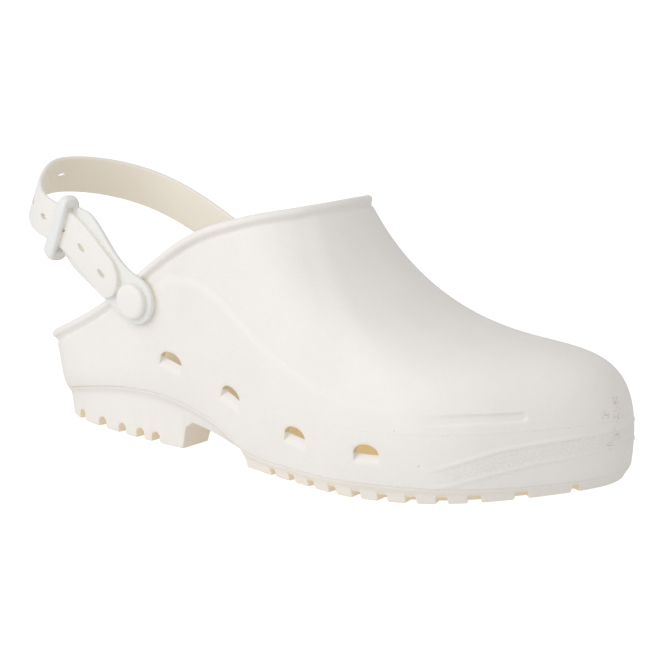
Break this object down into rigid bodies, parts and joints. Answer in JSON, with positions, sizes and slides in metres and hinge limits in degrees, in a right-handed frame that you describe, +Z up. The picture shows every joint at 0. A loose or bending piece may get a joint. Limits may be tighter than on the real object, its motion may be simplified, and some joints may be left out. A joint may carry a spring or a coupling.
{
  "type": "clog",
  "caption": "White moulded work clog for the right foot, with a hollow vented upper, rolled collar, lugged sole with heel and arch, and a buckled heel strap held by studs.",
  "frame": {"origin": "middle of the bounding box's footprint, on the floor", "axes": "+X towards the toe, +Z up, -Y towards the outer side of the right foot"},
  "size_m": [0.3052, 0.102, 0.1122],
  "materials": {
    "shell": "matt moulded elastomer with a fine grain",
    "outsole": "matt moulded elastomer",
    "footbed": "matt, lightly dimpled",
    "strap": "satin",
    "buckle": "semi-gloss",
    "button": "satin"
  },
  "bodies": {
    "root": {"upper": "shell", "sole": "outsole", "insole": "footbed", "strap_long": "strap", "strap_short": "strap", "buckle": "buckle", "button_outer": "button", "button_inner": "button"}
  },
  "joints": []
}
